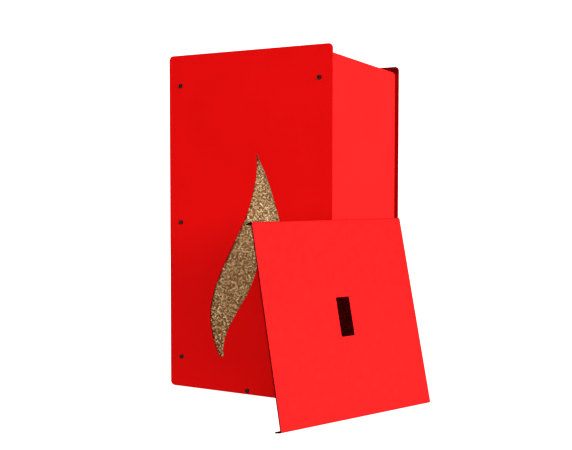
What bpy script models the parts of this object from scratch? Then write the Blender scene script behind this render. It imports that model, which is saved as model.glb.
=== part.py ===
"""Steel storage box for wood pellets, with its lid off and leaning on it.

Two flat plates close the front and the back. The folded side walls and the
floor panel stand between them, and button-head screws through the plates hold
them together, in nuts welded behind the folded edges. A flame-shaped window in
the front plate has a clear pane behind it. The lid drops between the plates
and hooks over both side walls with its two folded edges. Here it is lifted off,
stands on the ground and leans on the front plate's right edge.

Metres, +Z up, front at -Y. The origin is the middle of the floor panel's
underside, on the ground.
"""

import math

import bmesh
import bpy
from mathutils import Matrix, Vector

for old in list(bpy.data.objects):
    bpy.data.objects.remove(old, do_unlink=True)

# ---------------------------------------------------------------- dimensions
GAP = 0.0003  # play between pieces that touch

PLATE_W = 0.406  # front and back plates
PLATE_H = 0.750
PLATE_T = 0.002
PLATE_R = 0.010  # rounded corners
BOX_D = 0.392  # over both plates

SHEET_T = 0.0015  # walls and floor
BEND_R = 0.003  # outside radius of every fold
BEND_STEPS = 4

WALL_X = 0.1945  # outer face of a side wall
WALL_H = 0.735  # its top stays below the plates' top edge
WALL_FLANGE = 0.036  # turned-in edges behind the plates
WALL_RIM = 0.016  # turned-in top edge that carries the lid
WALL_RIM_Y = 0.184

FLOOR_TAB_X = 0.148  # half length of the floor's front and back edges
FLOOR_SIDE_Y = 0.186  # half length of its side edges
FLOOR_FLANGE = 0.016

SCREW_X = 0.173  # screw columns, from the middle of the plate
SCREW_Z = (0.0683, 0.375, 0.6817)
SCREW_LOW_Z = 0.008  # the single screw in the middle of the bottom edge
SCREW_HOLE_R = 0.0033
SCREW_SHANK_R = 0.0029
SCREW_LENGTH = 0.012
SCREW_HEAD_R = 0.00525
SCREW_HEAD_H = 0.0033
SCREW_HEX_AF = 0.004
SCREW_HEX_DEPTH = 0.0021
NUT_AF = 0.010
NUT_H = 0.005
NUT_HOLE_R = 0.0032

PANE_X = (-0.118, 0.108)
PANE_Z = (0.056, 0.547)
PANE_R = 0.006
PANE_T = 0.0015
STUD_INSET = 0.010
STUD_R = 0.0019
STUD_LENGTH = 0.0080
STUD_HOLE_R = 0.0024
WASHER_R = 0.006
WASHER_HOLE_R = 0.0022
WASHER_T = 0.001
PANE_NUT_AF = 0.007
PANE_NUT_H = 0.0032

LID_X = 0.396  # over its two folded edges
LID_Y = 0.386  # between the plates
LID_T = 0.0025  # heavier sheet than the walls
LID_FLANGE = 0.020
SLOT_X = 0.078  # hand slot
SLOT_Y = 0.033
SLOT_R = 0.003

LEAN_HEADING = math.radians(63.8)  # way the lid's lower edge runs on the ground
LEAN_TILT = math.radians(14.15)  # from upright
LEAN_OFFSET = 0.021  # where the plate's edge meets the lid, from its middle

# Flame window: cubic curves, millimetres from the plate's bottom middle. Each
# row holds two handles and an end point, and starts where the last one ended.
FLAME_START = (24, 530)
FLAME_CURVES = (
    ((26, 492), (19.5, 446), (-4, 388)),
    ((-22, 352), (-58, 292), (-80, 238)),
    ((-90, 212), (-96, 190), (-95.5, 164)),
    ((-95, 136), (-86, 104), (-74, 82)),
    ((-70, 76), (-61, 73), (-61, 80)),
    ((-63, 106), (-56, 127), (-45, 148)),
    ((-33, 170), (-15, 196), (-3, 215)),
    ((9, 234), (16, 255), (23, 274)),
    ((32, 298), (80, 305), (84, 347)),
    ((86, 368), (78, 392), (69.5, 417)),
    ((64, 433), (58.5, 453), (52, 469)),
    ((46.5, 484), (33, 506), (24, 530)),
)
FLAME_STEPS = 12

FRONT_Y = -BOX_D / 2  # outer face of the front plate
FLANGE_Y = BOX_D / 2 - PLATE_T - GAP  # outer face of the folded edges behind a plate
INSIDE = (0, 0, PLATE_H / 2)  # a point in the middle of the box


# ----------------------------------------------------------------- materials
def material(name, colour, roughness, metallic, alpha=1.0):
    mat = bpy.data.materials.new(name)
    mat.use_nodes = True
    shader = mat.node_tree.nodes["Principled BSDF"]
    shader.inputs["Base Color"].default_value = (*colour, 1.0)
    shader.inputs["Roughness"].default_value = roughness
    shader.inputs["Metallic"].default_value = metallic
    shader.inputs["Alpha"].default_value = alpha
    mat.diffuse_color = (*colour, alpha)
    return mat


RED = material("powder_coat_red", (0.76, 0.008, 0.008), 0.42, 0.0)
BLACK = material("black_steel", (0.02, 0.018, 0.017), 0.45, 0.6)
ZINC = material("zinc_steel", (0.55, 0.56, 0.58), 0.38, 1.0)
CLEAR = material("clear_pane", (0.9, 0.93, 0.93), 0.08, 0.0, alpha=0.25)


# ------------------------------------------------------------------- helpers
def circle(cx, cz, radius, steps=14):
    turn = 2 * math.pi / steps
    return [
        (cx + radius * math.cos(i * turn), cz + radius * math.sin(i * turn))
        for i in range(steps)
    ]


def rounded_rectangle(x0, z0, x1, z1, radius, steps=6):
    corners = (
        (x1 - radius, z1 - radius, 0),
        (x0 + radius, z1 - radius, 90),
        (x0 + radius, z0 + radius, 180),
        (x1 - radius, z0 + radius, 270),
    )
    points = []
    for cx, cz, start in corners:
        for i in range(steps + 1):
            angle = math.radians(start + 90 * i / steps)
            points.append((cx + radius * math.cos(angle), cz + radius * math.sin(angle)))
    return points


def flame_outline():
    points, start = [], Vector(FLAME_START)
    for handles in FLAME_CURVES:
        b, c, end = (Vector(p) for p in handles)
        for i in range(FLAME_STEPS):
            t = i / FLAME_STEPS
            s = 1 - t
            p = s**3 * start + 3 * s * s * t * b + 3 * s * t * t * c + t**3 * end
            points.append((p.x / 1000, p.y / 1000))
        start = end
    return points


def fill(bm, loops, place, normal):
    """Flat face through the loops, the first one round it and the rest as holes."""
    edges = []
    for loop in loops:
        verts = [bm.verts.new(place(*p)) for p in loop]
        edges += [bm.edges.new((v, verts[(i + 1) % len(verts)])) for i, v in enumerate(verts)]
    bmesh.ops.triangle_fill(bm, use_beauty=True, edges=edges, normal=normal)


def strip(bm, lines):
    """Quads between neighbouring lines, each with the same number of points."""
    rows = [[bm.verts.new(p) for p in line] for line in lines]
    for a, b in zip(rows, rows[1:]):
        for i in range(len(a) - 1):
            bm.faces.new((a[i], a[i + 1], b[i + 1], b[i]))


def bend(centre, start, end):
    """Points of a quarter fold from start to end round its centre."""
    c, u, v = Vector(centre), Vector(start) - Vector(centre), Vector(end) - Vector(centre)
    for i in range(BEND_STEPS + 1):
        angle = math.pi / 2 * i / BEND_STEPS
        yield c + u * math.cos(angle) + v * math.sin(angle)


def finish(name, bm, mat):
    mesh = bpy.data.meshes.new(name)
    bm.to_mesh(mesh)
    bm.free()
    mesh.materials.append(mat)
    mesh.shade_smooth()
    mesh.set_sharp_from_angle(angle=math.radians(30))
    return mesh


def place_object(name, mesh, parent, matrix=None):
    obj = bpy.data.objects.new(name, mesh)
    bpy.context.scene.collection.objects.link(obj)
    obj.parent = parent
    obj.matrix_local = matrix or Matrix.Identity(4)
    return obj


def sheet(name, bm, thickness, mat, parent, inside, matrix=None):
    """A sheet piece: its outer surface, made solid towards the point inside."""
    bmesh.ops.remove_doubles(bm, verts=bm.verts, dist=1e-6)
    bmesh.ops.recalc_face_normals(bm, faces=bm.faces)
    outward = sum(
        f.calc_area() * f.normal.dot(f.calc_center_median() - Vector(inside)) for f in bm.faces
    )
    if outward < 0:
        bmesh.ops.reverse_faces(bm, faces=bm.faces)
    obj = place_object(name, finish(name, bm, mat), parent, matrix)
    solid = obj.modifiers.new("thickness", "SOLIDIFY")
    solid.thickness = thickness
    solid.offset = -1
    solid.use_even_offset = True
    solid.use_quality_normals = True
    return obj


def ring_solid(name, rings, mat, closed):
    """Solid skinned over rings of points: capped at both ends, or closed on itself."""
    bm = bmesh.new()
    rows = [[bm.verts.new(p) for p in ring] for ring in rings]
    for a, b in zip(rows, rows[1:] + (rows[:1] if closed else [])):
        for i in range(len(a)):
            j = (i + 1) % len(a)
            bm.faces.new((a[i], a[j], b[j], b[i]))
    if not closed:
        bm.faces.new(rows[0])
        bm.faces.new(rows[-1])
    bmesh.ops.recalc_face_normals(bm, faces=bm.faces)
    return finish(name, bm, mat)


def ring(radius, z, steps=12):
    return [(x, y, z) for x, y in circle(0, 0, radius, steps)]


def hexagon(across_flats, z):
    """A hexagon as 12 points: its corners and the middles of its sides."""
    inner = across_flats / 2
    outer = inner / math.cos(math.pi / 6)
    points = []
    for i in range(12):
        radius = inner if i % 2 else outer
        angle = i * math.pi / 6
        points.append((radius * math.cos(angle), radius * math.sin(angle), z))
    return points


# -------------------------------------------------------------------- plates
box = bpy.data.objects.new("box", None)
bpy.context.scene.collection.objects.link(box)

screw_places = [
    ("left_top", -SCREW_X, SCREW_Z[2]),
    ("left_middle", -SCREW_X, SCREW_Z[1]),
    ("left_low", -SCREW_X, SCREW_Z[0]),
    ("right_top", SCREW_X, SCREW_Z[2]),
    ("right_middle", SCREW_X, SCREW_Z[1]),
    ("right_low", SCREW_X, SCREW_Z[0]),
    ("bottom", 0.0, SCREW_LOW_Z),
]

outline = rounded_rectangle(-PLATE_W / 2, 0, PLATE_W / 2, PLATE_H, PLATE_R)
holes = [circle(x, z, SCREW_HOLE_R) for _, x, z in screw_places]

bm = bmesh.new()
fill(bm, [outline, flame_outline()] + holes, lambda x, z: (x, FRONT_Y, z), Vector((0, -1, 0)))
sheet("front_plate", bm, PLATE_T, RED, box, INSIDE)

bm = bmesh.new()
fill(bm, [outline] + holes, lambda x, z: (x, -FRONT_Y, z), Vector((0, 1, 0)))
sheet("back_plate", bm, PLATE_T, RED, box, INSIDE)

# ---------------------------------------------------------------- side walls
for name, hand in (("left_wall", -1), ("right_wall", 1)):
    bm = bmesh.new()
    flat_y = FLANGE_Y - BEND_R  # the wall is flat between its folds
    flat_z = WALL_H - BEND_R
    flat_x = WALL_X - BEND_R
    columns = (-flat_y, -WALL_RIM_Y, WALL_RIM_Y, flat_y)
    strip(bm, [[(hand * WALL_X, y, z) for y in columns] for z in (0, flat_z)])
    for side in (-1, 1):
        folds = bend(
            (hand * flat_x, side * flat_y, 0),
            (hand * WALL_X, side * flat_y, 0),
            (hand * flat_x, side * FLANGE_Y, 0),
        )
        strip(bm, [[(p.x, p.y, z) for z in (0, flat_z)] for p in folds])
        edge_x = WALL_X - WALL_FLANGE
        loop = [(edge_x, 0), (flat_x, 0), (flat_x, flat_z), (edge_x, flat_z)]
        fill(
            bm,
            [loop] + [circle(SCREW_X, z, SCREW_HOLE_R) for z in SCREW_Z],
            lambda x, z: (hand * x, side * FLANGE_Y, z),
            Vector((0, side, 0)),
        )
    folds = list(
        bend((hand * flat_x, 0, flat_z), (hand * WALL_X, 0, flat_z), (hand * flat_x, 0, WALL_H))
    )
    folds.append(Vector((hand * (WALL_X - WALL_RIM), 0, WALL_H)))
    strip(bm, [[(p.x, y, p.z) for y in (-WALL_RIM_Y, WALL_RIM_Y)] for p in folds])
    sheet(name, bm, SHEET_T, RED, box, INSIDE)

# --------------------------------------------------------------- floor panel
bm = bmesh.new()
floor_x = WALL_X - SHEET_T - GAP  # outer face of its side edges
flat_x, flat_y = floor_x - BEND_R, FLANGE_Y - BEND_R
xs = (-flat_x, -FLOOR_TAB_X, FLOOR_TAB_X, flat_x)
ys = (-flat_y, -FLOOR_SIDE_Y, FLOOR_SIDE_Y, flat_y)
strip(bm, [[(x, y, 0) for y in ys] for x in xs])
for side in (-1, 1):
    folds = bend((0, side * flat_y, BEND_R), (0, side * flat_y, 0), (0, side * FLANGE_Y, BEND_R))
    strip(bm, [[(x, p.y, p.z) for x in (-FLOOR_TAB_X, FLOOR_TAB_X)] for p in folds])
    loop = [
        (-FLOOR_TAB_X, BEND_R),
        (FLOOR_TAB_X, BEND_R),
        (FLOOR_TAB_X, FLOOR_FLANGE),
        (-FLOOR_TAB_X, FLOOR_FLANGE),
    ]
    hole = circle(0, SCREW_LOW_Z, SCREW_HOLE_R)
    fill(bm, [loop, hole], lambda x, z: (x, side * FLANGE_Y, z), Vector((0, side, 0)))
    folds = list(bend((side * flat_x, 0, BEND_R), (side * flat_x, 0, 0), (side * floor_x, 0, BEND_R)))
    folds.append(Vector((side * floor_x, 0, FLOOR_FLANGE)))
    strip(bm, [[(p.x, y, p.z) for y in (-FLOOR_SIDE_Y, FLOOR_SIDE_Y)] for p in folds])
sheet("floor_panel", bm, SHEET_T, RED, box, INSIDE)

# --------------------------------------------------------------- window pane
stud_places = [
    (x, z)
    for z in (PANE_Z[0] + STUD_INSET, sum(PANE_Z) / 2, PANE_Z[1] - STUD_INSET)
    for x in (PANE_X[0] + STUD_INSET, PANE_X[1] - STUD_INSET)
]
pane_y = FRONT_Y + PLATE_T + GAP
bm = bmesh.new()
fill(
    bm,
    [rounded_rectangle(PANE_X[0], PANE_Z[0], PANE_X[1], PANE_Z[1], PANE_R, 4)]
    + [circle(x, z, STUD_HOLE_R, 12) for x, z in stud_places],
    lambda x, z: (x, pane_y, z),
    Vector((0, -1, 0)),
)
sheet("window_pane", bm, PANE_T, CLEAR, box, INSIDE)

# ---------------------------------------------------------------- fasteners
screw_mesh = ring_solid(
    "screw",
    [
        ring(0.0023, -SCREW_LENGTH),
        ring(SCREW_SHANK_R, -SCREW_LENGTH + 0.0006),
        ring(SCREW_SHANK_R, 0),
        ring(SCREW_HEAD_R - 0.0002, 0),
        ring(SCREW_HEAD_R, 0.0005),
        ring(SCREW_HEAD_R * 0.9, SCREW_HEAD_H * 0.5),
        ring(SCREW_HEAD_R * 0.7, SCREW_HEAD_H * 0.85),
        ring(SCREW_HEAD_R * 0.5, SCREW_HEAD_H),
        hexagon(SCREW_HEX_AF, SCREW_HEAD_H),
        hexagon(SCREW_HEX_AF, SCREW_HEAD_H - SCREW_HEX_DEPTH),
    ],
    BLACK,
    closed=False,
)
nut_mesh = ring_solid(
    "nut",
    [hexagon(NUT_AF, 0), hexagon(NUT_AF, NUT_H), ring(NUT_HOLE_R, NUT_H), ring(NUT_HOLE_R, 0)],
    ZINC,
    closed=True,
)
stud_mesh = ring_solid(
    "stud",
    [ring(STUD_R, 0, 10), ring(STUD_R, STUD_LENGTH - 0.0005, 10), ring(STUD_R * 0.75, STUD_LENGTH, 10)],
    ZINC,
    closed=False,
)
washer_mesh = ring_solid(
    "washer",
    [
        ring(WASHER_R, 0),
        ring(WASHER_R, WASHER_T),
        ring(WASHER_HOLE_R, WASHER_T),
        ring(WASHER_HOLE_R, 0),
    ],
    ZINC,
    closed=True,
)
pane_nut_mesh = ring_solid(
    "pane_nut",
    [
        hexagon(PANE_NUT_AF, 0),
        hexagon(PANE_NUT_AF, PANE_NUT_H),
        ring(WASHER_HOLE_R, PANE_NUT_H),
        ring(WASHER_HOLE_R, 0),
    ],
    ZINC,
    closed=True,
)


def facing(side, x, y, z):
    """Frame at a point whose own Z looks along side * Y, and whose X stays level."""
    return Matrix.Translation((x, y, z)) @ Matrix.Rotation(-side * math.pi / 2, 4, "X")


for face, side in (("front", -1), ("back", 1)):
    for spot, x, z in screw_places:
        head_y = side * (BOX_D / 2 + GAP)
        nut_y = side * (FLANGE_Y - SHEET_T - GAP)
        place_object(f"{face}_screw_{spot}", screw_mesh, box, facing(side, x, head_y, z))
        place_object(f"{face}_nut_{spot}", nut_mesh, box, facing(-side, x, nut_y, z))

washer_y = pane_y + PANE_T + GAP
for i, (x, z) in enumerate(stud_places, 1):
    place_object(f"pane_stud_{i}", stud_mesh, box, facing(1, x, pane_y, z))
    place_object(f"pane_washer_{i}", washer_mesh, box, facing(1, x, washer_y, z))
    place_object(
        f"pane_nut_{i}", pane_nut_mesh, box, facing(1, x, washer_y + WASHER_T + GAP, z)
    )

# ----------------------------------------------------------------------- lid
# In its own frame the lid lies flat, outer face up at Z = 0, with its folded
# edges down at both ends of X. It leans with X up the slope.
bm = bmesh.new()
flat_x = LID_X / 2 - BEND_R
fill(
    bm,
    [
        [(-flat_x, -LID_Y / 2), (flat_x, -LID_Y / 2), (flat_x, LID_Y / 2), (-flat_x, LID_Y / 2)],
        rounded_rectangle(-SLOT_X / 2, -SLOT_Y / 2, SLOT_X / 2, SLOT_Y / 2, SLOT_R, 4),
    ],
    lambda x, y: (x, y, 0),
    Vector((0, 0, 1)),
)
for side in (-1, 1):
    folds = list(
        bend((side * flat_x, 0, -BEND_R), (side * flat_x, 0, 0), (side * LID_X / 2, 0, -BEND_R))
    )
    folds.append(Vector((side * LID_X / 2, 0, -LID_FLANGE)))
    strip(bm, [[(p.x, y, p.z) for y in (-LID_Y / 2, LID_Y / 2)] for p in folds])

along = Vector((math.cos(LEAN_HEADING), math.sin(LEAN_HEADING), 0))
away = Vector((math.sin(LEAN_HEADING), -math.cos(LEAN_HEADING), 0))
up = Vector((0, 0, 1))
outward = math.cos(LEAN_TILT) * away + math.sin(LEAN_TILT) * up
slope = -math.sin(LEAN_TILT) * away + math.cos(LEAN_TILT) * up
reach = math.sin(LEAN_TILT) * LID_X / 2 + math.cos(LEAN_TILT) * LID_FLANGE + GAP
height = math.cos(LEAN_TILT) * LID_X / 2 + math.sin(LEAN_TILT) * LID_FLANGE
middle = Vector((PLATE_W / 2, FRONT_Y, 0)) - LEAN_OFFSET * along + reach * away + height * up

lean = Matrix((slope, -along, outward)).transposed().to_4x4()
lean.translation = middle
sheet("lid", bm, LID_T, RED, None, (0, 0, -0.1), matrix=lean)
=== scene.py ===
"""Looks for a red steel pellet storage box with its lid off, built round its CAD frame."""

import math

import bmesh
import bpy
import numpy as np
from mathutils import Matrix, Vector


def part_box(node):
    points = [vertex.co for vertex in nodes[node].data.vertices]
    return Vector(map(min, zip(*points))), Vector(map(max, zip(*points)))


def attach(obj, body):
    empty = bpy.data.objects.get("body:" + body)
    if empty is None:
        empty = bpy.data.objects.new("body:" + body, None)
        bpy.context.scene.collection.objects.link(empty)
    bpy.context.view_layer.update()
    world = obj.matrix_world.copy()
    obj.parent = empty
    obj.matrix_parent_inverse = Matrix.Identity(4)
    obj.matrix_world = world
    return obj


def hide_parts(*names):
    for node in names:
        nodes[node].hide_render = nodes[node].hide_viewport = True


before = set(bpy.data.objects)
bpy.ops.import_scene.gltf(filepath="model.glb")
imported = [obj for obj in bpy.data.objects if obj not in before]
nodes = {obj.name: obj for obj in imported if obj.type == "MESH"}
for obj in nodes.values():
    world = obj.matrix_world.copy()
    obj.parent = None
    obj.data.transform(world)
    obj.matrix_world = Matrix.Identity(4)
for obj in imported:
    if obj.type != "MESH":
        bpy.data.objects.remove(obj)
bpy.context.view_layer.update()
scene = bpy.context.scene

# Sizes of the CAD pieces that are drawn finer here, in metres.
GAP = 0.0003
PLATE_W, PLATE_H, PLATE_T, PLATE_R = 0.406, 0.750, 0.002, 0.010
BOX_D = 0.392
FRONT_Y = -BOX_D / 2
SCREW_X, SCREW_Z, SCREW_LOW_Z = 0.173, (0.0683, 0.375, 0.6817), 0.008
SCREW_HOLE_R, SCREW_SHANK_R, SCREW_LENGTH = 0.0033, 0.0029, 0.012
SCREW_HEAD_R, SCREW_HEAD_H, SCREW_HEX_AF, SCREW_HEX_DEPTH = 0.00525, 0.0033, 0.004, 0.0021
LID_X, LID_Y, LID_T, LID_FLANGE, BEND_R = 0.396, 0.386, 0.0025, 0.020, 0.003
SLOT_X, SLOT_Y, SLOT_R = 0.078, 0.033, 0.003
LEAN_HEADING, LEAN_TILT, LEAN_OFFSET = math.radians(63.8), math.radians(14.15), 0.021


# -------------------------------------------------------------------- camera
lens = bpy.data.cameras.new("camera")
lens.sensor_fit = "HORIZONTAL"
lens.sensor_width = 36.0
lens.lens = 53.79
lens.clip_start, lens.clip_end = 0.05, 100.0
camera = bpy.data.objects.new("camera", lens)
camera.location = (0.9354, -1.8035, 0.4539)
camera.rotation_euler = (
    Matrix.Rotation(math.radians(27.588), 3, "Z")
    @ Matrix.Rotation(math.radians(90 - 2.514), 3, "X")
    @ Matrix.Rotation(math.radians(0.058), 3, "Z")
).to_euler()
scene.collection.objects.link(camera)
scene.camera = camera

scene.view_settings.view_transform = "Standard"
scene.view_settings.look = "High Contrast"
scene.view_settings.exposure = 0.0
scene.view_settings.gamma = 1.0


# ----------------------------------------------------------------- materials
def shader(name):
    """A new node material, with its tree and its Principled node."""
    mat = bpy.data.materials.new(name)
    mat.use_nodes = True
    tree = mat.node_tree
    return mat, tree, tree.nodes["Principled BSDF"]


def node(tree, kind, **values):
    made = tree.nodes.new(kind)
    for key, value in values.items():
        setattr(made, key, value)
    return made


def noise(tree, coords, scale, detail=2.0, rough=0.5):
    made = node(tree, "ShaderNodeTexNoise")
    made.inputs["Scale"].default_value = scale
    made.inputs["Detail"].default_value = detail
    made.inputs["Roughness"].default_value = rough
    tree.links.new(coords, made.inputs["Vector"])
    return made.outputs["Fac"]


def mapped(tree, value, low, high, from_low=0.3, from_high=0.7):
    made = node(tree, "ShaderNodeMapRange")
    made.inputs["From Min"].default_value = from_low
    made.inputs["From Max"].default_value = from_high
    made.inputs["To Min"].default_value = low
    made.inputs["To Max"].default_value = high
    tree.links.new(value, made.inputs["Value"])
    return made.outputs["Result"]


def ramp(tree, value, stops):
    made = node(tree, "ShaderNodeValToRGB")
    points = made.color_ramp.elements
    while len(points) < len(stops):
        points.new(0.5)
    for point, (place, colour) in zip(points, stops):
        point.position = place
        point.color = (*colour, 1.0)
    tree.links.new(value, made.inputs["Fac"])
    return made.outputs["Color"]


def bump(tree, height, strength, distance, normal=None):
    made = node(tree, "ShaderNodeBump")
    made.inputs["Strength"].default_value = strength
    made.inputs["Distance"].default_value = distance
    tree.links.new(height, made.inputs["Height"])
    if normal is not None:
        tree.links.new(normal, made.inputs["Normal"])
    return made.outputs["Normal"]


def powder_coat(name, dark, light, shine):
    """Red powder coat: slight cloudiness, orange peel and an uneven gloss."""
    mat, tree, bsdf = shader(name)
    coords = node(tree, "ShaderNodeTexCoord").outputs["Object"]
    cloud = noise(tree, coords, 5.0, 2.0)
    colour = ramp(tree, cloud, [(0.30, dark), (0.70, light)])
    tree.links.new(colour, bsdf.inputs["Base Color"])
    gloss = noise(tree, coords, 70.0, 3.0)
    tree.links.new(mapped(tree, gloss, 0.67, 0.73), bsdf.inputs["Roughness"])
    fine = bump(tree, noise(tree, coords, 1100.0, 2.0), 0.10, 0.0002)
    peel = bump(tree, noise(tree, coords, 330.0, 2.0), 0.14, 0.0006, fine)
    tree.links.new(peel, bsdf.inputs["Normal"])
    bsdf.inputs["Specular IOR Level"].default_value = shine
    return mat


def cut_edge(name, dark, light):
    """A cut sheet edge where the coat is drawn thin. Its near-black version, on the lid, is painted shade."""
    mat, tree, bsdf = shader(name)
    coords = node(tree, "ShaderNodeTexCoord").outputs["Object"]
    colour = ramp(tree, noise(tree, coords, 240.0, 3.0), [(0.3, dark), (0.7, light)])
    tree.links.new(colour, bsdf.inputs["Base Color"])
    tree.links.new(mapped(tree, noise(tree, coords, 800.0, 2.0), 0.55, 0.72), bsdf.inputs["Roughness"])
    tree.links.new(bump(tree, noise(tree, coords, 1900.0, 2.0), 0.15, 0.0002), bsdf.inputs["Normal"])
    bsdf.inputs["Specular IOR Level"].default_value = 0.05
    return mat


def black_oxide():
    """Blackened screw steel, dry and dull."""
    mat, tree, bsdf = shader("black_oxide")
    coords = node(tree, "ShaderNodeTexCoord").outputs["Object"]
    colour = ramp(
        tree,
        noise(tree, coords, 420.0, 3.0),
        [(0.3, (0.074, 0.053, 0.037)), (0.7, (0.157, 0.113, 0.079))],
    )
    tree.links.new(colour, bsdf.inputs["Base Color"])
    tree.links.new(mapped(tree, noise(tree, coords, 900.0, 2.0), 0.52, 0.68), bsdf.inputs["Roughness"])
    tree.links.new(bump(tree, noise(tree, coords, 2200.0, 2.0), 0.12, 0.0001), bsdf.inputs["Normal"])
    bsdf.inputs["Specular IOR Level"].default_value = 0.14
    return mat


def zinc():
    """Zinc plated steel, mottled and a little dull."""
    mat, tree, bsdf = shader("zinc_plate")
    coords = node(tree, "ShaderNodeTexCoord").outputs["Object"]
    colour = ramp(
        tree,
        noise(tree, coords, 260.0, 4.0),
        [(0.3, (0.44, 0.45, 0.47)), (0.7, (0.64, 0.64, 0.63))],
    )
    tree.links.new(colour, bsdf.inputs["Base Color"])
    tree.links.new(mapped(tree, noise(tree, coords, 700.0, 3.0), 0.28, 0.46), bsdf.inputs["Roughness"])
    tree.links.new(bump(tree, noise(tree, coords, 1800.0, 2.0), 0.10, 0.0001), bsdf.inputs["Normal"])
    bsdf.inputs["Metallic"].default_value = 1.0
    return mat


def clear_pane():
    """Clear acrylic sheet, faintly dusty."""
    mat, tree, bsdf = shader("clear_acrylic")
    coords = node(tree, "ShaderNodeTexCoord").outputs["Object"]
    dust = noise(tree, coords, 45.0, 4.0)
    colour = ramp(tree, dust, [(0.3, (0.09, 0.10, 0.10)), (0.7, (0.11, 0.12, 0.12))])
    tree.links.new(colour, bsdf.inputs["Base Color"])
    tree.links.new(mapped(tree, dust, 0.05, 0.12), bsdf.inputs["Roughness"])
    tree.links.new(bump(tree, noise(tree, coords, 14.0, 1.0), 0.05, 0.0002), bsdf.inputs["Normal"])
    bsdf.inputs["Alpha"].default_value = 0.04
    bsdf.inputs["IOR"].default_value = 1.49
    return mat


def wood():
    """Pressed sawdust: a tone for each pellet, flecks along it, and a dry sheen."""
    mat, tree, bsdf = shader("wood_pellet")
    tone = node(tree, "ShaderNodeAttribute", attribute_name="tone").outputs["Fac"]
    grain = node(tree, "ShaderNodeAttribute", attribute_name="grain").outputs["Vector"]
    fleck = noise(tree, grain, 1.0, 4.0, 0.6)
    base = ramp(
        tree,
        tone,
        [
            (0.00, (0.130, 0.059, 0.025)),
            (0.30, (0.340, 0.188, 0.086)),
            (0.50, (0.475, 0.318, 0.160)),
            (0.75, (0.665, 0.540, 0.335)),
            (1.00, (0.780, 0.690, 0.470)),
        ],
    )
    shade = ramp(tree, fleck, [(0.32, (0.70, 0.64, 0.58)), (0.68, (1.0, 1.0, 1.0))])
    mix = node(tree, "ShaderNodeMix", data_type="RGBA", blend_type="MULTIPLY")
    mix.inputs[0].default_value = 1.0
    tree.links.new(base, mix.inputs[6])
    tree.links.new(shade, mix.inputs[7])
    tree.links.new(mix.outputs[2], bsdf.inputs["Base Color"])
    tree.links.new(mapped(tree, fleck, 0.52, 0.72), bsdf.inputs["Roughness"])
    tree.links.new(bump(tree, fleck, 0.30, 0.0003), bsdf.inputs["Normal"])
    bsdf.inputs["Specular IOR Level"].default_value = 0.20
    return mat


RED, RED_SHEEN_COPY, THIN, PAINTED_SHADE_EDGE, BLACK, ZINC, CLEAR, WOOD = (
    powder_coat("red_powder_coat", (0.418, 0.0076, 0.0072), (0.442, 0.0084, 0.0080), 0.008),
    # the same red paint as above with a touch more green and blue, a painted sheen for the lit walls and lid,
    # and more specular
    powder_coat("red_coat_sheen_copy", (0.418, 0.0086, 0.0083), (0.442, 0.0094, 0.0091), 0.11),
    cut_edge("thin_coat", (0.125, 0.0028, 0.0026), (0.155, 0.0034, 0.0032)),
    # near-black lid edges: painted shade on faces turned from the lamps
    cut_edge("painted_shade_edge", (0.018, 0.0022, 0.0021), (0.036, 0.0036, 0.0034)),
    black_oxide(),
    zinc(),
    clear_pane(),
    wood(),
)

for name, obj in nodes.items():
    if "screw" in name:
        finish = BLACK
    elif "nut" in name or "stud" in name or "washer" in name:
        finish = ZINC
    elif name == "window_pane":
        finish = CLEAR
    else:
        finish = RED_SHEEN_COPY
    obj.data.materials.clear()
    obj.data.materials.append(finish)


# ------------------------------------------------------------- finer pieces
EDGE_R = 0.0003  # rounding of every cut edge
LID_EDGE = 0.0006  # width of the rounded rim along the lid's two straight cuts, drawn near-black as painted shade
S45 = 1 - math.sin(math.pi / 4)


def rounds(thickness):
    """Steps round a sheet's cut edge: how far in from the cut, how deep under the face."""
    one = [(EDGE_R, 0.0), (EDGE_R * S45, EDGE_R * S45), (0.0, EDGE_R)]
    return one + [(inset, thickness - depth) for inset, depth in reversed(one)]


def stand_for(piece, cad_name, body):
    """Shows a finer piece in place of a CAD node, after a check that it fills the same box."""
    bpy.context.view_layer.update()
    points = np.array([piece.matrix_world @ v.co for v in piece.data.vertices])
    low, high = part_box(cad_name)
    miss = max(np.abs(points.min(0) - np.array(low)).max(), np.abs(points.max(0) - np.array(high)).max())
    if miss > 0.0005:
        raise ValueError(f"{piece.name} is {miss * 1000:.2f} mm off {cad_name}")
    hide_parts(cad_name)
    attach(piece, body)


def new_object(name, mesh):
    obj = bpy.data.objects.new(name, mesh)
    scene.collection.objects.link(obj)
    return obj


def circle(cx, cz, radius, steps):
    turn = 2 * math.pi / steps
    return [(cx + radius * math.cos(i * turn), cz + radius * math.sin(i * turn)) for i in range(steps)]


def rounded_rectangle(x0, z0, x1, z1, radius, steps):
    corners = (
        (x1 - radius, z1 - radius, 0),
        (x0 + radius, z1 - radius, 90),
        (x0 + radius, z0 + radius, 180),
        (x1 - radius, z0 + radius, 270),
    )
    points = []
    for cx, cz, start in corners:
        for i in range(steps + 1):
            angle = math.radians(start + 90 * i / steps)
            points.append((cx + radius * math.cos(angle), cz + radius * math.sin(angle)))
    return points


def turned(loop):
    """The loop as an array that runs anticlockwise."""
    points = np.array(loop)
    after = np.roll(points, -1, axis=0)
    area = (points[:, 0] * after[:, 1] - after[:, 0] * points[:, 1]).sum()
    return points if area > 0 else points[::-1]


def shifted(points, distance):
    """An anticlockwise loop moved inwards by a distance."""
    before = points - np.roll(points, 1, axis=0)
    after = np.roll(points, -1, axis=0) - points
    before /= np.linalg.norm(before, axis=1, keepdims=True)
    after /= np.linalg.norm(after, axis=1, keepdims=True)
    left = np.stack([-before[:, 1], before[:, 0]], axis=1)
    right = np.stack([-after[:, 1], after[:, 0]], axis=1)
    middle = left + right
    middle /= np.linalg.norm(middle, axis=1, keepdims=True)
    stretch = 1 / np.maximum((middle * left).sum(axis=1, keepdims=True), 0.45)
    return points + distance * stretch * middle


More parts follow.
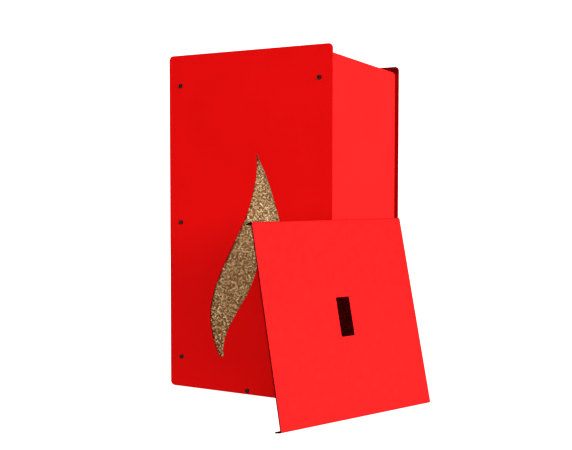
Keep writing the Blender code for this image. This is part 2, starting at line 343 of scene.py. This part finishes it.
def ring_faces(bm, a, b, smooth=True, index=0):
    for i in range(len(a)):
        j = (i + 1) % len(a)
        face = bm.faces.new((a[i], a[j], b[j], b[i]))
        face.smooth, face.material_index = smooth, index


def ring_edges(bm, ring):
    return [bm.edges.get((ring[i], ring[(i + 1) % len(ring)])) for i in range(len(ring))]


def flat_fill(bm, edges, normal):
    made = bmesh.ops.triangle_fill(bm, use_beauty=True, edges=edges, normal=normal)
    for item in made["geom"]:
        if isinstance(item, bmesh.types.BMFace):
            item.smooth, item.material_index = False, 0


def cut_plate(name, loops, y, inward, thickness):
    """Flat sheet with holes, standing at a Y, with every cut edge rounded over."""
    bm = bmesh.new()
    faces = ([], [])
    for k, loop in enumerate(loops):
        points = turned(loop)
        way = 1 if k == 0 else -1  # the sheet lies inside its outline and outside its holes
        rings = []
        for inset, depth in rounds(thickness):
            at = shifted(points, way * inset)
            rings.append([bm.verts.new((px, y + inward * depth, pz)) for px, pz in at])
        for a, b in zip(rings, rings[1:]):
            ring_faces(bm, a, b, index=1 if k == 0 else 0)
        faces[0].extend(ring_edges(bm, rings[0]))
        faces[1].extend(ring_edges(bm, rings[-1]))
    flat_fill(bm, faces[0], Vector((0, -inward, 0)))
    flat_fill(bm, faces[1], Vector((0, inward, 0)))
    bmesh.ops.recalc_face_normals(bm, faces=bm.faces)
    mesh = bpy.data.meshes.new(name)
    bm.to_mesh(mesh)
    bm.free()
    mesh.materials.append(RED)
    mesh.materials.append(THIN)
    return new_object(name, mesh)


# Flame window: cubic curves, millimetres from the plate's bottom middle. Each row
# holds two handles and an end point, and starts where the last one ended.
FLAME_START = (24, 530)
FLAME_CURVES = (
    ((26, 492), (19.5, 446), (-4, 388)),
    ((-22, 352), (-58, 292), (-80, 238)),
    ((-90, 212), (-96, 190), (-95.5, 164)),
    ((-95, 136), (-86, 104), (-74, 82)),
    ((-70, 76), (-61, 73), (-61, 80)),
    ((-63, 106), (-56, 127), (-45, 148)),
    ((-33, 170), (-15, 196), (-3, 215)),
    ((9, 234), (16, 255), (23, 274)),
    ((32, 298), (80, 305), (84, 347)),
    ((86, 368), (78, 392), (69.5, 417)),
    ((64, 433), (58.5, 453), (52, 469)),
    ((46.5, 484), (33, 506), (24, 530)),
)


def flame_outline(steps):
    points, start = [], Vector(FLAME_START)
    for row in FLAME_CURVES:
        b, c, end = (Vector(p) for p in row)
        for i in range(steps):
            t = i / steps
            s = 1 - t
            p = s**3 * start + 3 * s * s * t * b + 3 * s * t * t * c + t**3 * end
            points.append((p.x / 1000, p.y / 1000))
        start = end
    return points


screw_places = [
    ("left_top", -SCREW_X, SCREW_Z[2]),
    ("left_middle", -SCREW_X, SCREW_Z[1]),
    ("left_low", -SCREW_X, SCREW_Z[0]),
    ("right_top", SCREW_X, SCREW_Z[2]),
    ("right_middle", SCREW_X, SCREW_Z[1]),
    ("right_low", SCREW_X, SCREW_Z[0]),
    ("bottom", 0.0, SCREW_LOW_Z),
]
plate_outline = rounded_rectangle(-PLATE_W / 2, 0, PLATE_W / 2, PLATE_H, PLATE_R, 14)
plate_holes = [circle(x, z, SCREW_HOLE_R, 32) for _, x, z in screw_places]

front_plate = cut_plate(
    "front_plate_sheet", [plate_outline, flame_outline(24)] + plate_holes, FRONT_Y, 1, PLATE_T
)
back_plate = cut_plate("back_plate_sheet", [plate_outline] + plate_holes, -FRONT_Y, -1, PLATE_T)
stand_for(front_plate, "front_plate", "box")
stand_for(back_plate, "back_plate", "box")


def button_screw():
    """Button-head screw with a domed head, a hexagon socket and a chamfered tip."""
    steps = 36

    def round_ring(radius, z):
        return [(px, py, z) for px, py in circle(0, 0, radius, steps)]

    def hexagon_ring(across_flats, z):
        points = []
        for i in range(steps):
            angle = 2 * math.pi * i / steps
            turn = (angle + math.pi / 6) % (math.pi / 3) - math.pi / 6
            radius = across_flats / 2 / math.cos(turn)
            points.append((radius * math.cos(angle), radius * math.sin(angle), z))
        return points

    rim = 0.0006
    dome = []
    for i in range(9):
        angle = math.radians(62) * i / 8
        dome.append(
            round_ring(
                SCREW_HEAD_R * math.cos(angle),
                rim + (SCREW_HEAD_H - rim) * math.sin(angle) / math.sin(math.radians(62)),
            )
        )
    rings = (
        [
            round_ring(0.0022, -SCREW_LENGTH),
            round_ring(SCREW_SHANK_R, -SCREW_LENGTH + 0.0007),
            round_ring(SCREW_SHANK_R, 0.0),
            round_ring(SCREW_HEAD_R - 0.0002, 0.0),
            round_ring(SCREW_HEAD_R, 0.0002),
        ]
        + dome
        + [
            hexagon_ring(SCREW_HEX_AF + 0.0004, SCREW_HEAD_H),
            hexagon_ring(SCREW_HEX_AF, SCREW_HEAD_H - 0.0002),
            hexagon_ring(SCREW_HEX_AF, SCREW_HEAD_H - SCREW_HEX_DEPTH),
            round_ring(0.0006, SCREW_HEAD_H - SCREW_HEX_DEPTH - 0.0003),
        ]
    )
    bm = bmesh.new()
    rows = [[bm.verts.new(p) for p in ring] for ring in rings]
    for a, b in zip(rows, rows[1:]):
        ring_faces(bm, a, b)
    bm.faces.new(rows[0])
    bm.faces.new(rows[-1])
    bmesh.ops.recalc_face_normals(bm, faces=bm.faces)
    mesh = bpy.data.meshes.new("button_screw")
    bm.to_mesh(mesh)
    bm.free()
    mesh.materials.append(BLACK)
    mesh.set_sharp_from_angle(angle=math.radians(35))
    return mesh


screw_mesh = button_screw()
screws = []
for face, side in (("front", -1), ("back", 1)):
    for spot_name, x, z in screw_places:
        cad_name = f"{face}_screw_{spot_name}"
        screw = new_object(cad_name.replace("screw", "button_screw"), screw_mesh)
        screw.matrix_world = Matrix.Translation((x, side * (BOX_D / 2 + GAP), z)) @ Matrix.Rotation(
            -side * math.pi / 2, 4, "X"
        )
        stand_for(screw, cad_name, "box")
        screws.append(screw)


def lid_place(run, depth):
    """Point of the lid's section: a run along its bent outer face, and a depth under it."""
    lower, quarter, flat = LID_FLANGE - BEND_R, math.pi / 2 * BEND_R, LID_X - 2 * BEND_R
    if run <= lower:
        return -LID_X / 2 + depth, run - LID_FLANGE
    if run < lower + quarter:
        angle = (run - lower) / BEND_R
        radius = BEND_R - depth
        return -LID_X / 2 + BEND_R - radius * math.cos(angle), -BEND_R + radius * math.sin(angle)
    if run <= lower + quarter + flat:
        return -LID_X / 2 + BEND_R + run - lower - quarter, -depth
    x, z = lid_place(2 * (lower + quarter) + flat - run, depth)
    return -x, z


def folded_lid():
    """Lid sheet with two folded edges and a hand slot. Its cut edges, rims and slot walls carry painted shade,
    a near-black finish.
    """
    lower, quarter, flat = LID_FLANGE - BEND_R, math.pi / 2 * BEND_R, LID_X - 2 * BEND_R
    whole = 2 * (lower + quarter) + flat
    bends = 8
    knee = [lower + quarter * i / bends for i in range(bends + 1)]

    def section(inset, radius):
        """Closed loop of the lid's section, drawn in all round by an inset."""
        runs = [inset + radius] + knee + [whole - r for r in reversed(knee)] + [whole - inset - radius]
        outer = [lid_place(r, inset) for r in runs]
        inner = [lid_place(r, LID_T - inset) for r in runs]
        tips = []
        for base, way in ((whole - inset, -1), (inset, 1)):
            tip = [
                lid_place(base + way * radius * S45, inset + radius * S45),
                lid_place(base, inset + radius),
                lid_place(base, LID_T - inset - radius),
                lid_place(base + way * radius * S45, LID_T - inset - radius * S45),
            ]
            tips.append(tip)
        return outer + tips[0] + inner[::-1] + tips[1][::-1]

    count = 2 * (bends + 1) + 2  # points along one face of the section
    half = LID_Y / 2
    levels = [
        (half, LID_EDGE, EDGE_R * 0.25),
        (half - LID_EDGE * S45, LID_EDGE * S45, EDGE_R * 0.7),
        (half - LID_EDGE, 0.0, EDGE_R),
    ]
    bm = bmesh.new()
    rows = []
    for y, inset, radius in [(-y, i, r) for y, i, r in levels] + levels[::-1]:
        rows.append([bm.verts.new((x, y, z)) for x, z in section(inset, radius)])
    n = len(rows[0])
    flat_a, flat_b = bends + 1, bends + 2  # the flat's two ends on the outer face
    inner_a, inner_b = n - 5 - flat_a, n - 5 - flat_b
    cuts = [*range(count - 1, count + 4), *range(n - 5, n)]  # the folded edges' own cut faces
    for k, (a, b) in enumerate(zip(rows, rows[1:])):
        for i in range(n):
            if k == 2 and i in (flat_a, inner_b):
                continue
            j = (i + 1) % n
            face = bm.faces.new((a[i], a[j], b[j], b[i]))
            face.smooth = True
            face.material_index = 1 if k != 2 or i in cuts else 0
    for row in (rows[0], rows[-1]):
        for i in range(count - 1):
            face = bm.faces.new((row[i], row[i + 1], row[n - 6 - i], row[n - 5 - i]))
            face.material_index = 1
        for loop in (row[count - 1 : count + 5], row[n - 5 :] + row[:1]):
            bm.faces.new(loop).material_index = 1
    rings = []
    for inset, depth in rounds(LID_T):
        loop = rounded_rectangle(
            -SLOT_X / 2 - inset, -SLOT_Y / 2 - inset, SLOT_X / 2 + inset, SLOT_Y / 2 + inset, SLOT_R + inset, 10
        )
        rings.append([bm.verts.new((x, y, -depth)) for x, y in loop])
    for a, b in zip(rings, rings[1:]):
        ring_faces(bm, a, b, index=1)
    for a, b, ring, normal in ((flat_a, flat_b, rings[0], 1), (inner_a, inner_b, rings[-1], -1)):
        corners = (rows[2][a], rows[2][b], rows[3][b], rows[3][a])
        flat_fill(bm, ring_edges(bm, corners) + ring_edges(bm, ring), Vector((0, 0, normal)))
    bmesh.ops.recalc_face_normals(bm, faces=bm.faces)
    mesh = bpy.data.meshes.new("lid_sheet")
    bm.to_mesh(mesh)
    bm.free()
    mesh.materials.append(RED_SHEEN_COPY)
    mesh.materials.append(PAINTED_SHADE_EDGE)

    along = Vector((math.cos(LEAN_HEADING), math.sin(LEAN_HEADING), 0))
    away = Vector((math.sin(LEAN_HEADING), -math.cos(LEAN_HEADING), 0))
    up = Vector((0, 0, 1))
    outward = math.cos(LEAN_TILT) * away + math.sin(LEAN_TILT) * up
    slope = -math.sin(LEAN_TILT) * away + math.cos(LEAN_TILT) * up
    reach = math.sin(LEAN_TILT) * LID_X / 2 + math.cos(LEAN_TILT) * LID_FLANGE + GAP
    height = math.cos(LEAN_TILT) * LID_X / 2 + math.sin(LEAN_TILT) * LID_FLANGE
    lean = Matrix((slope, -along, outward)).transposed().to_4x4()
    lean.translation = (
        Vector((PLATE_W / 2, FRONT_Y, 0)) - LEAN_OFFSET * along + reach * away + height * up
    )
    mesh.transform(lean)
    return new_object("lid_sheet", mesh)


lid = folded_lid()
stand_for(lid, "lid", "lid")


# ------------------------------------------------------------------- pellets
PELLET_R = 0.0020


def settle(low, high, ground, count, lean, inside, rng):
    """Drops rods one by one on a height field and lets each rest on what is under it.

    low and high bound the field, ground(u, v) is its first height, which the rods cover
    evenly, and inside(u, v) says where a rod's middle may lie. Returns middles,
    directions and lengths.
    """
    cell = 0.0010
    shape = [int(math.ceil((b - a) / cell)) + 1 for a, b in zip(low, high)]
    grid_u = low[0] + cell * np.arange(shape[0])
    grid_v = low[1] + cell * np.arange(shape[1])
    field = ground(grid_u[:, None], grid_v[None, :]) + np.zeros(shape)
    across = np.array([-0.0013, 0.0, 0.0013])
    share = np.linspace(-1, 1, 9)
    left, right = np.triu_indices(9, 1)
    keep = (share[left] <= 0) & (share[right] >= 0)
    left, right = left[keep], right[keep]
    weight = -share[left] / (share[right] - share[left])
    middles, ways, lengths = [], [], []
    tries = 10
    while len(middles) < count:
        u = rng.uniform(low[0], high[0], tries)
        v = rng.uniform(low[1], high[1], tries)
        turn = lean(rng, tries)
        half = np.clip(rng.normal(0.0037, 0.0012, tries), 0.0020, 0.0068)
        cu, cv = np.cos(turn), np.sin(turn)
        pu = u[:, None] + share * (half * cu)[:, None]
        pv = v[:, None] + share * (half * cv)[:, None]
        edge = PELLET_R * 1.1
        fits = (
            (np.minimum(pu[:, 0], pu[:, -1]) > low[0] + edge)
            & (np.maximum(pu[:, 0], pu[:, -1]) < high[0] - edge)
            & (np.minimum(pv[:, 0], pv[:, -1]) > low[1] + edge)
            & (np.maximum(pv[:, 0], pv[:, -1]) < high[1] - edge)
            & inside(u, v)
        )
        if not fits.any():
            continue
        su = pu[:, :, None] - across * cv[:, None, None]
        sv = pv[:, :, None] + across * cu[:, None, None]
        iu = np.clip(np.rint((su - low[0]) / cell).astype(int), 0, shape[0] - 1)
        iv = np.clip(np.rint((sv - low[1]) / cell).astype(int), 0, shape[1] - 1)
        drop = PELLET_R - np.sqrt(PELLET_R**2 - across**2)
        under = (field[iu, iv] - drop).max(axis=2)
        at_middle = under[:, left] * (1 - weight) + under[:, right] * weight
        best = at_middle.argmax(axis=1)
        height = at_middle.max(axis=1)
        rows = np.arange(tries)
        run = (share[right] - share[left])[best] * half
        slope = (under[rows, right[best]] - under[rows, left[best]]) / run
        cover = np.where(fits & (np.abs(slope) < 1.1), height - ground(u, v), np.inf)
        i = int(cover.argmin())
        if not np.isfinite(cover[i]):
            continue
        tilt = math.atan(slope[i])
        flat = half[i] * math.cos(tilt)
        axis_height = height[i] + PELLET_R / math.cos(tilt)
        middles.append((u[i], v[i], axis_height))
        ways.append((cu[i] * math.cos(tilt), cv[i] * math.cos(tilt), math.sin(tilt)))
        lengths.append(2 * half[i])
        reach = flat + PELLET_R
        a0, a1 = np.searchsorted(grid_u, (u[i] - reach, u[i] + reach))
        b0, b1 = np.searchsorted(grid_v, (v[i] - reach, v[i] + reach))
        du = grid_u[a0:a1, None] - u[i]
        dv = grid_v[None, b0:b1] - v[i]
        along = du * cu[i] + dv * cv[i]
        aside = -du * cv[i] + dv * cu[i]
        covered = (np.abs(along) <= flat) & (np.abs(aside) < PELLET_R)
        top = axis_height + along * slope[i] + np.sqrt(np.maximum(PELLET_R**2 - aside**2, 0))
        patch = field[a0:a1, b0:b1]
        patch[covered] = np.maximum(patch, top)[covered]
    return np.array(middles), np.array(ways), np.array(lengths)


def rods(name, middles, ways, lengths, tones, sides, worn_ends, rng):
    """One mesh of short wood rods with uneven ends, worn round where worn_ends is true."""
    n = len(middles)
    helper = np.where(np.abs(ways[:, 2:3]) < 0.9, [[0.0, 0.0, 1.0]], [[1.0, 0.0, 0.0]])
    side = np.cross(ways, helper)
    side /= np.linalg.norm(side, axis=1, keepdims=True)
    third = np.cross(ways, side)
    half = lengths / 2
    if worn_ends:
        worn = np.minimum(0.0006, half * 0.2)
        places = np.stack([-half, -half + worn, half - worn, half], axis=1)
        girth = np.array([0.80, 1.0, 1.0, 0.80])
        marks = (0.0, 0.12, 0.60, 0.72)
    else:
        places = np.stack([-half, half], axis=1)
        girth = np.array([0.97, 0.97])
        marks = (0.0, 0.72)
    levels = len(girth)
    radius = PELLET_R * rng.uniform(0.955, 1.0, n)
    angle = 2 * math.pi * (np.arange(sides)[None, :] / sides + rng.uniform(0, 1, (n, 1)))
    ragged = rng.normal(0, 0.00020, (n, levels, sides))
    first, last = rng.normal(0, 0.12, (2, n))
    share = np.linspace(0, 1, levels)
    slant = first[:, None] * (1 - share) + last[:, None] * share
    r = radius[:, None, None] * girth[None, :, None] * rng.uniform(0.965, 1.0, (n, levels, sides))
    x = r * np.cos(angle)[:, None, :]
    y = r * np.sin(angle)[:, None, :]
    limit = half[:, None, None]
    z = np.clip(places[:, :, None] + slant[:, :, None] * x + ragged, -limit, limit)
    points = (
        middles[:, None, None, :]
        + x[..., None] * side[:, None, None, :]
        + y[..., None] * third[:, None, None, :]
        + z[..., None] * ways[:, None, None, :]
    ).reshape(-1, 3)
    quads = []
    for level in range(levels - 1):
        for i in range(sides):
            j = (i + 1) % sides
            low, high = level * sides, (level + 1) * sides
            quads.append((low + i, low + j, high + j, high + i))
    quads = np.array(quads)
    start = np.arange(sides)[::-1]
    end = (levels - 1) * sides + np.arange(sides)
    base = levels * sides * np.arange(n)
    loops = np.concatenate(
        [
            (quads.ravel()[None, :] + base[:, None]),
            (start[None, :] + base[:, None]),
            (end[None, :] + base[:, None]),
        ],
        axis=1,
    )
    sizes = np.tile(np.array([4] * len(quads) + [sides, sides]), n)
    mesh = bpy.data.meshes.new(name)
    mesh.vertices.add(len(points))
    mesh.vertices.foreach_set("co", points.astype(np.float32).ravel())
    mesh.loops.add(loops.size)
    mesh.loops.foreach_set("vertex_index", loops.astype(np.int32).ravel())
    mesh.polygons.add(len(sizes))
    mesh.polygons.foreach_set("loop_start", np.concatenate([[0], np.cumsum(sizes)[:-1]]).astype(np.int32))
    mesh.polygons.foreach_set("loop_total", sizes.astype(np.int32))
    mesh.update(calc_edges=True)
    smooth = np.tile(np.array([True] * len(quads) + [False, False]), n)
    mesh.polygons.foreach_set("use_smooth", smooth)
    tone = np.repeat(np.clip(tones, 0, 1), levels * sides)
    mesh.attributes.new("tone", "FLOAT", "POINT").data.foreach_set("value", tone.astype(np.float32))
    grain = np.stack(
        [
            (x * 1500) + 40 * rng.uniform(0, 1, (n, 1, 1)),
            (y * 1500) + 40 * rng.uniform(0, 1, (n, 1, 1)),
            (z * 420) + 40 * rng.uniform(0, 1, (n, 1, 1)),
        ],
        axis=-1,
    ).reshape(-1, 3)
    mesh.attributes.new("grain", "FLOAT_VECTOR", "POINT").data.foreach_set(
        "vector", grain.astype(np.float32).ravel()
    )
    # every rod has a cell of its own in the map: its side unrolled, and its two ends above
    per_row = int(math.ceil(math.sqrt(n)))
    size = 1.0 / per_row
    corner = np.stack([np.arange(n) % per_row, np.arange(n) // per_row], axis=1) * size
    unrolled = []
    for level in range(levels - 1):
        for i in range(sides):
            u0, u1 = i / sides, (i + 1) / sides
            v0, v1 = marks[level : level + 2]
            unrolled += [(u0, v0), (u1, v0), (u1, v1), (u0, v1)]
    spin = 2 * math.pi * np.arange(sides) / sides
    disc = np.stack([0.12 * np.cos(spin), 0.12 * np.sin(spin)], axis=1)
    cap_a = disc[::-1] + (0.22, 0.87)
    cap_b = disc + (0.68, 0.87)
    cell = np.concatenate([np.array(unrolled), cap_a, cap_b]) * 0.94 + 0.03
    uv = (corner[:, None, :] + cell[None] * size).reshape(-1, 2)
    mesh.uv_layers.new(name="OFBake").data.foreach_set("uv", uv.astype(np.float32).ravel())
    mesh.materials.append(WOOD)
    mesh.validate()
    return new_object(name, mesh)


def near_outline(points, margin):
    """Test for places inside an outline or within a margin of it."""
    outline = np.array(points)
    after = np.roll(outline, -1, axis=0)

    def test(u, v):
        u, v = np.asarray(u)[:, None], np.asarray(v)[:, None]
        rises = (outline[:, 1] > v) != (after[:, 1] > v)
        step = np.where(after[:, 1] == outline[:, 1], 1.0, after[:, 1] - outline[:, 1])
        cross = (after[:, 0] - outline[:, 0]) * (v - outline[:, 1]) / step + outline[:, 0]
        within = (rises & (u < cross)).sum(axis=1) % 2 == 1
        close = ((outline[:, 0] - u) ** 2 + (outline[:, 1] - v) ** 2).min(axis=1) < margin**2
        return within | close

    return test


HEAP_Z = 0.560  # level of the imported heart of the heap, under its loose top


def heap_height(x, y):
    """Top of the heap's heart: a low mound, with a hollow where pellets were scooped."""
    mound = 0.030 * np.exp(-((x + 0.03) ** 2 + (y - 0.03) ** 2) / 0.018)
    hollow = -0.020 * np.exp(-((x - 0.10) ** 2 + (y + 0.09) ** 2) / 0.006)
    waves = 0.004 * np.sin(31 * x + 1.3) * np.sin(27 * y + 0.4) + 0.003 * np.sin(58 * x - 41 * y)
    return HEAP_Z + mound + hollow + waves


rng = np.random.default_rng(20417)

pane_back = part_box("window_pane")[1].y
window_at = pane_back + 0.0003
spots, ways, lengths = settle(
    (-0.116, 0.058),
    (0.106, 0.545),
    lambda u, v: 0.0 * u * v,
    1500,
    lambda g, n: g.normal(0.0, 0.95, n),
    near_outline(flame_outline(8), 0.014),
    rng,
)
window_middles = np.stack([spots[:, 0], window_at + spots[:, 2], spots[:, 1]], axis=1)
window_ways = np.stack([ways[:, 0], ways[:, 2], ways[:, 1]], axis=1)
# painted light: the pellets turn paler upwards, standing in for the lid's shade on the lower ones
painted_light_upwards = np.clip((window_middles[:, 2] - 0.30) / 0.16, 0, 1)
tones = 0.55 + 0.06 * painted_light_upwards + rng.normal(0, 1, len(lengths)) * (0.105 - 0.04 * painted_light_upwards)
window_pellets = rods("pellets_at_window", window_middles, window_ways, lengths, tones, 12, True, rng)

inner_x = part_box("right_wall")[1].x - 0.0015 - 0.0008
inner_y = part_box("right_wall")[1].y - 0.0015 - 0.0008
spots, ways, lengths = settle(
    (-inner_x, -inner_y),
    (inner_x, inner_y),
    heap_height,
    6600,
    lambda g, n: g.uniform(0.0, math.pi, n),
    lambda u, v: np.ones(len(u), bool),
    rng,
)
tones = 0.60 + rng.normal(0, 0.18, len(lengths))
top_pellets = rods("pellets_on_top", spots, ways, lengths, tones, 8, False, rng)


def heap_heart():
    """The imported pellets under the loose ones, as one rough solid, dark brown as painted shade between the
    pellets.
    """
    bm = bmesh.new()
    nx = ny = 49
    back_of_window = window_at + 0.0056
    xs = np.linspace(-inner_x + 0.004, inner_x - 0.004, nx)
    ys = np.linspace(back_of_window, inner_y - 0.008, ny)
    low, top = [], []
    for x in xs:
        low.append([bm.verts.new((x, y, 0.012)) for y in ys])
        top.append([bm.verts.new((x, y, heap_height(x, y))) for y in ys])
    for i in range(nx - 1):
        for j in range(ny - 1):
            bm.faces.new((top[i][j], top[i + 1][j], top[i + 1][j + 1], top[i][j + 1]))
            bm.faces.new((low[i][j], low[i][j + 1], low[i + 1][j + 1], low[i + 1][j]))
    for i in range(nx - 1):
        bm.faces.new((low[i][0], low[i + 1][0], top[i + 1][0], top[i][0]))
        bm.faces.new((low[i + 1][-1], low[i][-1], top[i][-1], top[i + 1][-1]))
    for j in range(ny - 1):
        bm.faces.new((low[0][j + 1], low[0][j], top[0][j], top[0][j + 1]))
        bm.faces.new((low[-1][j], low[-1][j + 1], top[-1][j + 1], top[-1][j]))
    mesh = bpy.data.meshes.new("pellet_heap")
    bm.to_mesh(mesh)
    bm.free()
    points = np.array([v.co for v in mesh.vertices])
    # painted light: behind the window it turns paler upwards, as the loose pellets do
    at_window = points[:, 1] < back_of_window + 0.001
    tone = np.where(at_window, 0.08 + 0.33 * points[:, 2], 0.12) + 0.03 * rng.normal(0, 1, len(points))
    mesh.attributes.new("tone", "FLOAT", "POINT").data.foreach_set("value", tone.astype(np.float32))
    mesh.attributes.new("grain", "FLOAT_VECTOR", "POINT").data.foreach_set(
        "vector", (points * 420).astype(np.float32).ravel()
    )
    mesh.materials.append(WOOD)
    return new_object("pellet_heap", mesh)


heart = heap_heart()
for piece in (window_pellets, top_pellets, heart):
    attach(piece, "box")


# --------------------------------------------------------------- studio
def plain_floor():
    mat, tree, bsdf = shader("floor")
    bsdf.inputs["Base Color"].default_value = (0.10, 0.10, 0.10, 1.0)
    bsdf.inputs["Roughness"].default_value = 0.9
    bsdf.inputs["Specular IOR Level"].default_value = 0.0
    bsdf.inputs["Emission Color"].default_value = (1.0, 1.0, 1.0, 1.0)
    coords = node(tree, "ShaderNodeTexCoord").outputs["Object"]
    reach = node(tree, "ShaderNodeVectorMath", operation="LENGTH")
    tree.links.new(coords, reach.inputs[0])
    glow = mapped(tree, reach.outputs["Value"], 0.80, 1.0, 0.4, 2.6)
    tree.links.new(glow, bsdf.inputs["Emission Strength"])
    bm = bmesh.new()
    bmesh.ops.create_grid(bm, x_segments=1, y_segments=1, size=30.0)
    mesh = bpy.data.meshes.new("floor")
    bm.to_mesh(mesh)
    bm.free()
    mesh.materials.append(mat)
    obj = new_object("floor", mesh)
    obj.location.z = -0.0002
    obj.visible_diffuse = False
    obj.visible_glossy = False


plain_floor()

world = bpy.data.worlds.new("studio")
world.use_nodes = True
scene.world = world
tree = world.node_tree
plain = tree.nodes["Background"]
plain.inputs["Color"].default_value = (1.0, 1.0, 1.0, 1.0)
plain.inputs["Strength"].default_value = 0.08
seen = node(tree, "ShaderNodeBackground")
seen.inputs["Color"].default_value = (1.0, 1.0, 1.0, 1.0)
seen.inputs["Strength"].default_value = 1.0
path = node(tree, "ShaderNodeLightPath")
both = node(tree, "ShaderNodeMixShader")
tree.links.new(path.outputs["Is Camera Ray"], both.inputs["Fac"])
tree.links.new(plain.outputs["Background"], both.inputs[1])
tree.links.new(seen.outputs["Background"], both.inputs[2])
tree.links.new(both.outputs["Shader"], tree.nodes["World Output"].inputs["Surface"])


def lamp(name, light, place, target):
    obj = new_object(name, light)
    obj.location = place
    obj.rotation_euler = (Vector(target) - Vector(place)).to_track_quat("-Z", "Y").to_euler()
    obj.visible_camera = False
    return obj


def softbox(name, place, target, width, height, power, colour=(1.0, 1.0, 1.0)):
    light = bpy.data.lights.new(name, "AREA")
    light.shape = "RECTANGLE"
    light.size, light.size_y = width, height
    light.energy = power
    light.color = colour
    return lamp(name, light, place, target)


def sun(name, way, strength, spread):
    """Parallel soft light that comes from a direction."""
    light = bpy.data.lights.new(name, "SUN")
    light.energy = strength
    light.angle = math.radians(spread)
    return lamp(name, light, Vector(way), (0.0, 0.0, 0.0))


def flag(light, pieces, state):
    """Keeps a lamp's light on some pieces only, or off them, as cards in front of it would."""
    held = bpy.data.collections.new(f"{light.name}_flags")
    for piece in pieces:
        held.objects.link(piece)
    for entry in held.collection_objects:
        entry.light_linking.link_state = state
    light.light_linking.receiver_collection = held


key = sun("key", (0.965, -0.155, 0.16), 6.6, 3.0)
flag(key, (lid,), "INCLUDE")
side = sun("side", (0.965, -0.155, 0.16), 9.7, 9.0)
flag(side, (lid, front_plate, back_plate, window_pellets, nodes["window_pane"], *screws), "EXCLUDE")
rim = sun("rim", (0.970, 0.06, 0.16), 9.7, 3.0)
flag(rim, (front_plate, back_plate), "INCLUDE")
front = softbox("front", (-0.50, -2.20, 0.49), (-0.20, FRONT_Y, 0.42), 1.2, 1.0, 17.7)
flag(front, (lid,), "EXCLUDE")
fill = softbox("fill", (1.85, -4.05, 0.93), (0.0, FRONT_Y, 0.40), 0.8, 0.8, 105.0)
flag(fill, (front_plate, window_pellets, heart, nodes["window_pane"]), "INCLUDE")
wrap = softbox("wrap", (3.1, -3.6, 0.75), (0.0, FRONT_Y, 0.40), 1.6, 1.6, 31.0)
flag(wrap, (front_plate, window_pellets, heart, nodes["window_pane"]), "INCLUDE")
graze = sun("graze", (0.955, -0.25, 0.165), 3.35, 42.0)
flag(graze, (front_plate, window_pellets, heart, nodes["window_pane"]), "INCLUDE")
# light that the pale floor throws back on the foot of the front plate
bounce = softbox("bounce", (-0.12, FRONT_Y - 0.06, 0.004), (-0.12, FRONT_Y, 0.035), 0.28, 0.012, 0.011)
flag(bounce, (front_plate,), "INCLUDE")
softbox("back", (-2.6, 2.6, 2.2), (0.0, 0.1, 0.4), 2.0, 2.0, 200.0)
top = softbox("top", (-0.12, 0.08, 1.95), (0.0, 0.0, 0.60), 0.5, 0.5, 14.0)
flag(top, (lid,), "EXCLUDE")
